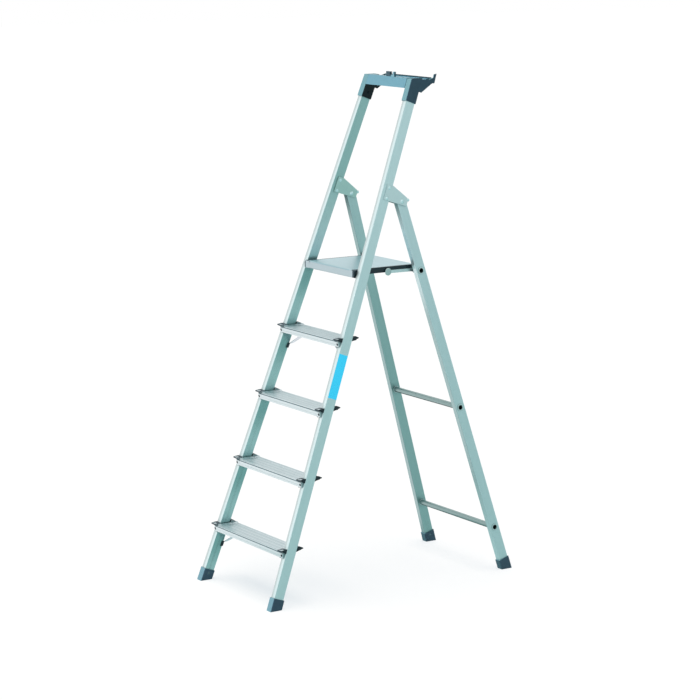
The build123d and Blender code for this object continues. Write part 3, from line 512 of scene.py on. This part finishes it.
# Painted shade: the rungs and the crossbar are darker on every face that doesn't look towards +X, and
# darkest underneath.
rung_metal = anodised("rung_anodised", (1, 0, 0), "#D0E2E2", "#DAECEC", 0.34,
                      washes=[("#B2BDBC", ("averted", (1, 0, 0))),
                              ("#56686A", ("facing", down, 0.45))])
print("anodised finishes:", sum("anodised" in material.name for material in bpy.data.materials))

# %% [markdown]
# ## Sheet aluminium, rivets and steel pins
#
# Hinge plates, braces and links are punched from rolled sheet, which has a fine grain and no
# long lines.  The hinge rivets are drawn wire, brighter and smoother; those of the shoes have
# gone dull and those of the tray are blackened.  The pins are pale zinc-plated steel and the
# knobs turned aluminium.  All are the same small graph with other numbers.  The inner hinge
# plates get darker, greener colours than the outer ones, which is painted shade too.

# %% Sheet, rivets and pins
mottled_swing = 0.06


def mottled_metal(name, dull, bright, roughness, grain_mm, metal=1.0, bump_mm=0.01, corner_mm=12.0):
    """Rolled or plated metal whose tone and gloss vary in small patches."""
    material, tree = new_material(name)
    place = add_node(tree, "ShaderNodeTexCoord")
    grain = add_node(tree, "ShaderNodeTexNoise", {"Scale": 1000.0 / grain_mm, "Detail": 4.0},
                     {"Vector": place.outputs["Object"]})
    tone = add_node(tree, "ShaderNodeMix", {"data_type": "RGBA"}, {"Factor": grain.outputs["Fac"]})
    tone.inputs[6].default_value = linear(dull)
    tone.inputs[7].default_value = linear(bright)
    rough = add_node(tree, "ShaderNodeMapRange",
                     {"From Min": noise_low, "From Max": noise_high,
                      "To Min": roughness - mottled_swing, "To Max": roughness + mottled_swing},
                     {"Value": grain.outputs["Fac"]})
    bump = add_node(tree, "ShaderNodeBump", {"Strength": 0.3, "Distance": bump_mm / 1000},
                    {"Height": grain.outputs["Fac"]})
    # Painted shade in the corners of every sheet, rivet, pin and knob.
    colour = cornered(tree, tone.outputs[2], corner_mm, "#7C9696")
    skin = add_node(tree, "ShaderNodeBsdfPrincipled", {"Metallic": metal},
                    {"Base Color": colour, "Roughness": rough.outputs[0], "Normal": bump.outputs[0]})
    add_node(tree, "ShaderNodeOutputMaterial", None, {"Surface": skin.outputs[0]})
    return material


plate_metal = mottled_metal("plate_rolled_aluminium", "#D9EAEB", "#E3F3F4", 0.38, 4.0, metal=0.85,
                            corner_mm=3.0)
inner_plate_metal = mottled_metal("inner_plate_rolled_aluminium", "#BCDAD5", "#C6E4DE", 0.38, 4.0,
                                  metal=0.85)
brace_metal = mottled_metal("brace_rolled_aluminium", "#E6E8F0", "#F0F2F8", 0.42, 4.0, metal=0.9)
rivet_metal = mottled_metal("rivet_drawn_aluminium", "#CFECEE", "#DCF6F8", 0.3, 3.0)
dull_rivet_metal = mottled_metal("rivet_dull_aluminium", "#62787F", "#70868D", 0.5, 3.0)
black_rivet_metal = mottled_metal("rivet_blackened_aluminium", "#101C22", "#1A2A32", 0.45, 3.0)
pin_metal = mottled_metal("pin_zinc_plated_steel", "#CAE6E8", "#D8F2F4", 0.32, 3.0, corner_mm=3.0)
knob_metal = mottled_metal("knob_turned_aluminium", "#B9CDCC", "#C9DCDB", 0.35, 3.0, metal=0.85)
small_metals = (plate_metal, inner_plate_metal, brace_metal, rivet_metal, dull_rivet_metal,
                black_rivet_metal, pin_metal, knob_metal)
print("sheet, rivet and pin finishes:", len(small_metals))

# %% [markdown]
# ## Moulded plastics
#
# The tread ends and plugs are glass-filled nylon, the shoes a softer moulded rubber and the tray
# a blue-grey ABS.  What the eye gets from all of them is a fine spark-eroded mould texture, which
# makes the highlight broad and slightly grainy.  Here a fine noise is the texture, as a bump, and a
# coarse one moves the colour and the gloss a little.  Washes paint light and shade on the
# mouldings: the tread ends are dark, with painted light on the faces that look inwards, the tray's
# brackets carry painted shade that is darkest on their inner faces, and the shoes have sides
# darkened by painted shade, the rear shoes their fronts as well.  The clip has a darker side.  The
# label is a bare metallic foil with a weak glow of its own, which is painted light that keeps its
# blue vivid.

# %% A moulded finish
moulded_swing = 0.04
cloud_size = 12


def moulded(name, deep, light, roughness, grain_mm, bump_mm=0.05, metal=0.0, washes=(), gloss=0.5, glow=0.0):
    """Moulded plastic with a fine mould texture and slight colour variation."""
    material, tree = new_material(name)
    place = add_node(tree, "ShaderNodeTexCoord")
    cloud = add_node(tree, "ShaderNodeTexNoise", {"Scale": 1000.0 / (grain_mm * cloud_size), "Detail": 3.0},
                     {"Vector": place.outputs["Object"]})
    grain = add_node(tree, "ShaderNodeTexNoise", {"Scale": 1000.0 / grain_mm, "Detail": 2.0},
                     {"Vector": place.outputs["Object"]})
    tone = add_node(tree, "ShaderNodeMix", {"data_type": "RGBA"}, {"Factor": cloud.outputs["Fac"]})
    tone.inputs[6].default_value = linear(deep)
    tone.inputs[7].default_value = linear(light)
    colour = washed(tree, tone.outputs[2], washes)
    bump = add_node(tree, "ShaderNodeBump", {"Strength": 0.4, "Distance": bump_mm / 1000},
                    {"Height": grain.outputs["Fac"]})
    rough = add_node(tree, "ShaderNodeMapRange",
                     {"From Min": noise_low, "From Max": noise_high,
                      "To Min": roughness - moulded_swing, "To Max": roughness + moulded_swing},
                     {"Value": cloud.outputs["Fac"]})
    skin = add_node(tree, "ShaderNodeBsdfPrincipled",
                    {"Metallic": metal, "Specular IOR Level": gloss,
                     "Emission Color": linear(light), "Emission Strength": glow},
                    {"Base Color": colour, "Roughness": rough.outputs[0], "Normal": bump.outputs[0]})
    add_node(tree, "ShaderNodeOutputMaterial", None, {"Surface": skin.outputs[0]})
    return material


print("colour clouds are", cloud_size, "times as wide as the grain")

# %% Plastics
nylon = moulded("plug_moulded_nylon", "#18303C", "#223E4A", 0.45, 0.8)
cap_nylon = {}
for side in inwards:
    # Painted light: the caps are dark, but pale on the faces that look inwards.
    cap_nylon[side] = moulded(f"cap_moulded_nylon_{side}", "#C4D8DC", "#CEE0E4", 0.45, 0.8,
                              washes=[("#233B47", ("averted", inwards[side]))])
# Painted shade: the dark strip in each tread's nose groove stands for the groove's shade.
groove_shade_pvc = moulded("groove_shade_strip_pvc", "#4E6A72", "#5A767E", 0.5, 1.0)
screw_nylon = moulded("screw_cap_moulded_nylon", "#0C171C", "#142329", 0.5, 0.8, gloss=0.3)
# Painted shade: the shoes are darker on their sides, and the rear shoes on their fronts too.
shoe_side_shade = [("#D3DCF4", ("facing", out)) for out in ((1, 0, 0), (-1, 0, 0))]
shoe_rubber = moulded("front_shoe_moulded_rubber", "#75A0AE", "#7FAAB8", 0.5, 1.0, washes=shoe_side_shade)
shaded_rubber = moulded("rear_shoe_moulded_rubber", "#75A0AE", "#7FAAB8", 0.5, 1.0,
                        washes=[*shoe_side_shade, ("#93A6AC", ("facing", to_climber))])
tray_abs = moulded("tray_moulded_abs", "#6CA2B4", "#78ACBE", 0.42, 0.8)
# The left part of the clip is dark, from this far left to this far right of the middle.
clip_shade = (-19.0 * mm, -17.0 * mm)
clip_abs = moulded("clip_moulded_abs", "#86B4C2", "#92C0CE", 0.42, 0.8,
                   washes=[("#5C6E76", ("rising", (-1, 0, 0), *clip_shade))])
bead_abs = moulded("bead_moulded_abs", "#314B54", "#39555F", 0.5, 0.8, gloss=0.25)
bracket_abs = {}
for side in inwards:
    # Painted shade: the brackets are darker on their outer faces and darkest on their inner ones.
    bracket_outer_shade = ("#D6DCF5", ("facing", outwards[side]))
    bracket_inner_shade = ("#38484C", ("facing", inwards[side]))
    bracket_abs[side] = moulded(f"bracket_moulded_abs_{side}", "#78A8B1", "#84B0B9", 0.46, 0.8,
                                washes=[bracket_outer_shade, bracket_inner_shade], gloss=0.25)
# The label's weak glow is painted light: it keeps the blue vivid, though the label is no lamp.
label_foil = moulded("label_blue_foil", "#40CCF6", "#4AD6FF", 0.3, 0.5, bump_mm=0.01, metal=0.9, glow=0.3)
print("moulded finishes:", sum("moulded" in material.name for material in bpy.data.materials))

# %% [markdown]
# ## Finish on every node
#
# A node whose shape is right keeps its shape and only gets a finish.  Its sharp edges would look
# cut with a laser, so each also gets a small bevel: first the seams of the imported mesh are
# welded, then edges sharper than 30 degrees are rounded, and the normals are weighted by face
# area so that flat faces stay flat.

# %% Tools for dressing
def soften(piece, width_mm, segments=2):
    """Round a piece's sharp edges."""
    weld = piece.modifiers.new("weld", "WELD")
    weld.merge_threshold = 0.00002
    bevel = piece.modifiers.new("bevel", "BEVEL")
    bevel.width = width_mm / 1000
    bevel.segments = segments
    bevel.limit_method = "ANGLE"
    bevel.angle_limit = radians(30)
    bevel.harden_normals = False
    weighted = piece.modifiers.new("weighted", "WEIGHTED_NORMAL")
    weighted.keep_sharp = False


def dress(names, material, bevel_mm):
    """Give nodes a finish and rounded edges."""
    for name in names:
        piece = nodes[name]
        piece.data.materials.clear()
        piece.data.materials.append(material)
        soften(piece, bevel_mm)
    print(material.name, len(names), "nodes")


def pair(name):
    """The names of a right-hand node and its left-hand twin."""
    return [f"{name}_right", f"{name}_left"]


print("left and right twins, such as", pair("front_shoe"))

# %% Dress the nodes
tread_numbers = range(1, 5)
# Widths of the rounded edges in mm, from foil and thin trim to rubber.
foil_edge = 0.1
trim_edge = 0.2
fine_edge = 0.3
plain_edge = 0.4
soft_edge = 0.5
round_edge = 0.8

for side in inwards:
    dress([f"front_stile_{side}"], front_stile_metal[side], fine_edge)
    dress([f"rear_stile_{side}"], rear_stile_metal[side], fine_edge)
    dress([f"tray_bracket_{side}"], bracket_abs[side], soft_edge)
    dress([f"tread_cap_{i}_{side}" for i in tread_numbers], cap_nylon[side], soft_edge)
dress([f"tread_{i}" for i in tread_numbers], tread_metal, fine_edge)
dress(["platform_deck"], platform_metal, soft_edge)
dress(["lower_rung", "middle_rung", "crossbar"], rung_metal, plain_edge)
plates = ["hinge_plate_outer", "link_bar"]
dress([name for plate in plates for name in pair(plate)], plate_metal, plain_edge)
dress(pair("hinge_plate_inner"), inner_plate_metal, plain_edge)
dress(["hinge_plate_rivets"], rivet_metal, fine_edge)
dress(["front_shoe_rivets", "rear_shoe_rivets"], dull_rivet_metal, fine_edge)
dress(["tray_rivets"], black_rivet_metal, fine_edge)
dress([*pair("hinge_pin"), "stop_pins", "platform_pins"], pin_metal, fine_edge)
dress([*pair("platform_side_cap"), "hinge_bushes", "stile_plugs", "link_collars"], nylon, soft_edge)
dress(pair("front_shoe"), shoe_rubber, round_edge)
dress(pair("rear_shoe"), shaded_rubber, round_edge)
dress(["tray_shelf"], tray_abs, soft_edge)
dress(["tray_clip"], clip_abs, soft_edge)
dress(["tread_screws"], screw_nylon, fine_edge)
dress(pair("link_knob"), knob_metal, fine_edge)
dress(["blank_label"], label_foil, foil_edge)

# %% [markdown]
# ## Pieces made in mesh code
#
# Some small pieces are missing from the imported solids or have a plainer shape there: the strip in
# each tread's nose groove, the slope at each end of a tread, the inlay in each front ear, the wide
# leaning braces, the laps of the platform's lip and the bead on the tray's back wall.  Each is one
# or more flat outlines that are pushed along a direction, so one function makes them all: it keeps
# the corners in order and closes the ends and the sides.  Places come from the boxes of the nodes
# that carry the pieces.

# %% A pushed outline
def pushed(mesh, corners, push):
    """Add to a mesh the solid that a flat outline sweeps when it is pushed."""
    near = [mesh.verts.new(corner) for corner in corners]
    far = [mesh.verts.new(Vector(corner) + Vector(push)) for corner in corners]
    faces = [near, far[::-1]]
    for i in range(len(corners)):
        after = (i + 1) % len(corners)
        faces.append([near[after], near[i], far[i], far[after]])
    made = [mesh.faces.new(face) for face in faces]
    bmesh.ops.recalc_face_normals(mesh, faces=made)


unit_square = [(0, 0, 0), (1, 0, 0), (1, 1, 0), (0, 1, 0)]
block = bmesh.new()
pushed(block, unit_square, (0, 0, 1))
print("a unit square pushed by 1 encloses", round(block.calc_volume(), 3))
block.free()

# %% A new piece
def new_piece(name, solids, material, bevel_mm, body, stands_for=()):
    """One piece of one or more pushed outlines, on a body."""
    mesh = bmesh.new()
    for corners, push in solids:
        pushed(mesh, corners, push)
    data = bpy.data.meshes.new(name)
    mesh.to_mesh(data)
    mesh.free()
    made = bpy.data.objects.new(name, data)
    bpy.context.scene.collection.objects.link(made)
    data.materials.append(material)
    soften(made, bevel_mm)
    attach(made, body)
    if stands_for:
        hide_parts(*stands_for)
    print(name, len(solids), "solids")
    return made


def mirrored(solid):
    """The left-hand twin of a right-hand solid."""
    corners, push = solid
    flip = Vector((-1, 1, 1))
    return [Vector(corner) * flip for corner in corners], Vector(push) * flip


print("mirrored push:", tuple(mirrored((unit_square, (1, 0, 0)))[1]))

# %% [markdown]
# ## Where the stiles and treads lie
#
# The frame gives the box of each node.  The stiles lean two ways, so a box gives only their corners,
# and two small functions work out where their faces are at a height.  Sizes that no box shows,
# such as a stile's depth, are named here.

# %% Where the stiles and treads lie
stile_depth = 38.0 * mm
stile_width = 23.4 * mm
rib_height = 1.0 * mm
overhang = 14.0 * mm


def outer_x(z):
    """X of the right front stile's outer face at a height."""
    return stile_high.x - (z - stile_low.z) * tan(side_lean)


def inner_x(z):
    """X of the right front stile's inner face at a height."""
    return outer_x(z) - stile_width / cos(side_lean)


class Tread:
    """Height of a tread's top and the Y of its nose, read from its node."""

    def __init__(self, number):
        low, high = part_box(f"tread_{number}")
        self.number = number
        self.nose = low.y
        self.top = high.z - rib_height

    def face_y(self, z):
        """Y of the stiles' front face at a height near this tread."""
        return self.nose + overhang + (z - self.top) * tan(front_lean)

    def rear_y(self, z):
        """Y of the stiles' rear face at a height near this tread."""
        return self.face_y(z) + stile_depth / cos(front_lean)


treads = [Tread(number) for number in tread_numbers]
print("tread tops:", [round(tread.top, 4) for tread in treads])

# %% [markdown]
# ## Nose strips
#
# A dark strip lies in the groove of each tread's nose and draws a fine line between the top and
# the front.  It is painted shade: a dark piece where the groove is in shade.  A painted line could
# stand for it, but a strip has edges that catch the light.

# %% Nose strips
groove_drop = 2.0 * mm
groove_height = 3.0 * mm
groove_depth = 1.4 * mm
nose_lap = 14.0 * mm
strip_proud = 0.2 * mm
strip_short = 1.0 * mm

strips = []
for tread in treads:
    reach = inner_x(tread.top) + nose_lap - strip_short
    front = tread.nose - strip_proud
    back = tread.nose + groove_depth
    high = tread.top - groove_drop
    low = high - groove_height
    outline = [(-reach, front, low), (-reach, front, high), (-reach, back, high), (-reach, back, low)]
    strips.append((outline, (2 * reach, 0, 0)))
new_piece("tread_nose_shade_strips", strips, groove_shade_pvc, trim_edge, "front_frame")

# %% [markdown]
# ## Slopes at the tread ends
#
# The plastic end of a tread has a rim whose inner face would show as a dark wall beside the
# tread's surface.  A shallow slope of the tread's own metal runs up to that rim and hides the
# wall.  A lower rim in the solids would be the cleaner way; the slope leaves them as they are.

# %% Slopes at the tread ends
cap_plate = 4.0 * mm
slope_height = 4.7 * mm
slope_run = 12.0 * mm
slope_margin = 2.0 * mm
tread_depth = 86.0 * mm
slopes = []
for tread in treads:
    foot = tread.nose + slope_margin
    edge_x = inner_x(tread.top) - cap_plate
    outline = [(edge_x, foot, tread.top + slope_height), (edge_x, foot, tread.top),
               (edge_x - slope_run, foot, tread.top)]
    slope = (outline, (0, tread_depth - 2 * slope_margin, 0))
    slopes += [slope, mirrored(slope)]
new_piece("tread_end_slopes", slopes, tread_metal, trim_edge, "front_frame")

# %% [markdown]
# ## Ear inlays
#
# The front ears of the tread ends are dark frames round a lighter inlay, which fills the pocket up
# to the level of their tips.  It is the tread's own metal, so it takes the light as the tread does.

# %% Ear inlays
ear_tip_height = 6.0 * mm
ear_pocket = 2.2 * mm
ear_wall = 2.4 * mm
pocket_start = 5.1 * mm
pocket_end = 9.0 * mm
inlays = []
for tread in treads:
    floor_z = tread.top + ear_tip_height - ear_pocket
    inside = inner_x(tread.top) + ear_wall
    outside = outer_x(tread.top) - ear_wall
    start = tread.nose - pocket_start
    end = tread.nose + pocket_end
    outline = [(inside, start, floor_z), (outside, start, floor_z),
               (outside, end, floor_z), (inside, end, floor_z)]
    inlay = (outline, (0, 0, ear_pocket))
    inlays += [inlay, mirrored(inlay)]
new_piece("ear_inlays", inlays, tread_metal, fine_edge, "front_frame")

# %% [markdown]
# ## Braces
#
# The lowest and the highest tread are stayed by a flat strap on each side.  It starts at a small
# dark foot on the rear edge of the stile and ends in a flange under the tread.  It is made of two
# flat stretches: each is an outline that leans with the stile and is pushed down by the strap's
# thickness.  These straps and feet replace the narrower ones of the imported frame.

# %% Braces
braced = (1, 4)
tread_front_height = 22.0 * mm
foot_drop = 80.0 * mm
brace_run = 70.0 * mm
brace_flange = 18.0 * mm
brace_foot_width = 14.0 * mm
brace_flange_width = 27.0 * mm
brace_behind = 14.0 * mm
brace_thickness = 3.0 * mm
foot_height = 17.0 * mm
foot_depth = 7.0 * mm
foot_thickness = 4.0 * mm
foot_behind = 1.0 * mm


def strap_run(tread, start, end):
    """A flat stretch of strap between two points, given as x, z and width, leaning with the stile."""
    (x0, z0, width0), (x1, z1, width1) = start, end
    edge0 = tread.rear_y(z0) + brace_behind
    edge1 = tread.rear_y(z1) + brace_behind
    outline = [(x0, edge0 - width0, z0), (x1, edge1 - width1, z1), (x1, edge1, z1), (x0, edge0, z0)]
    return outline, (0, 0, -brace_thickness)


feet = []
for tread in treads:
    if tread.number not in braced:
        continue
    foot_z = tread.top - foot_drop
    foot_x = inner_x(foot_z) - foot_thickness
    under = tread.top - tread_front_height
    end_x = foot_x - brace_run
    corners = [(foot_x, foot_z + foot_height, brace_foot_width), (end_x, under, brace_flange_width),
               (end_x - brace_flange, under, brace_flange_width)]
    runs = [strap_run(tread, start, end) for start, end in zip(corners, corners[1:])]
    for side in inwards:
        solids = runs if side == "right" else [mirrored(run) for run in runs]
        new_piece(f"brace_strap_{tread.number}_{side}", solids, brace_metal, fine_edge, "front_frame",
                  [f"tread_brace_{tread.number}_{side}"])
    high_z = foot_z + foot_height
    outline = []
    for z, edge in ((foot_z, -foot_depth), (foot_z, foot_behind),
                    (high_z, foot_behind), (high_z, -foot_depth)):
        outline.append((inner_x(z), tread.rear_y(z) + edge, z))
    foot = (outline, (-foot_thickness, 0, 0))
    feet += [foot, mirrored(foot)]
new_piece("brace_foot_pads", feet, nylon, plain_edge, "front_frame", ["brace_feet"])

# %% [markdown]
# ## The bead on the tray
#
# The tray's back wall ends in a thin darker bead from bracket to bracket.  It makes the far edge of
# the tray readable against a pale wall.

# %% Tray bead
shelf_low, shelf_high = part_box("tray_shelf")
bead_height = 3.6 * mm
bead_depth = 6.5 * mm
bead_end = 12.0 * mm
bead_reach = shelf_high.x + bead_end
outline = [
    (-bead_reach, shelf_high.y - bead_depth, shelf_high.z - bead_height),
    (-bead_reach, shelf_high.y, shelf_high.z - bead_height),
    (-bead_reach, shelf_high.y, shelf_high.z),
    (-bead_reach, shelf_high.y - bead_depth, shelf_high.z),
]
bead = (outline, (2 * bead_reach, 0, 0))
new_piece("tray_rear_bead", [bead], bead_abs, soft_edge, "front_frame")

# %% [markdown]
# ## The platform's nose laps
#
# The deck's front lip laps over the plastic side caps, a little further on the left than on the
# right, so that from the front each cap shows only its outer edge.  The laps are thin plates that
# fold with the platform.

# %% Platform nose laps
deck_low, deck_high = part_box("platform_deck")
cap_low, cap_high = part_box("platform_side_cap_right")
lap_front = min(deck_low.y, cap_low.y) - strip_proud
lap_margin = 1.0 * mm
lap_rear = deck_low.y + lap_margin
lap_low = deck_low.z + lap_margin
lap_high = deck_high.z - lap_margin
lap_start = 129.0 * mm
left_lap_end = 152.0 * mm
right_lap_end = 149.0 * mm
laps = []
for start_x, end_x in ((-left_lap_end, -lap_start), (lap_start, right_lap_end)):
    outline = [(start_x, lap_front, lap_low), (start_x, lap_front, lap_high),
               (start_x, lap_rear, lap_high), (start_x, lap_rear, lap_low)]
    laps.append((outline, (end_x - start_x, 0, 0)))
new_piece("platform_nose_laps", laps, platform_metal, fine_edge, "platform")
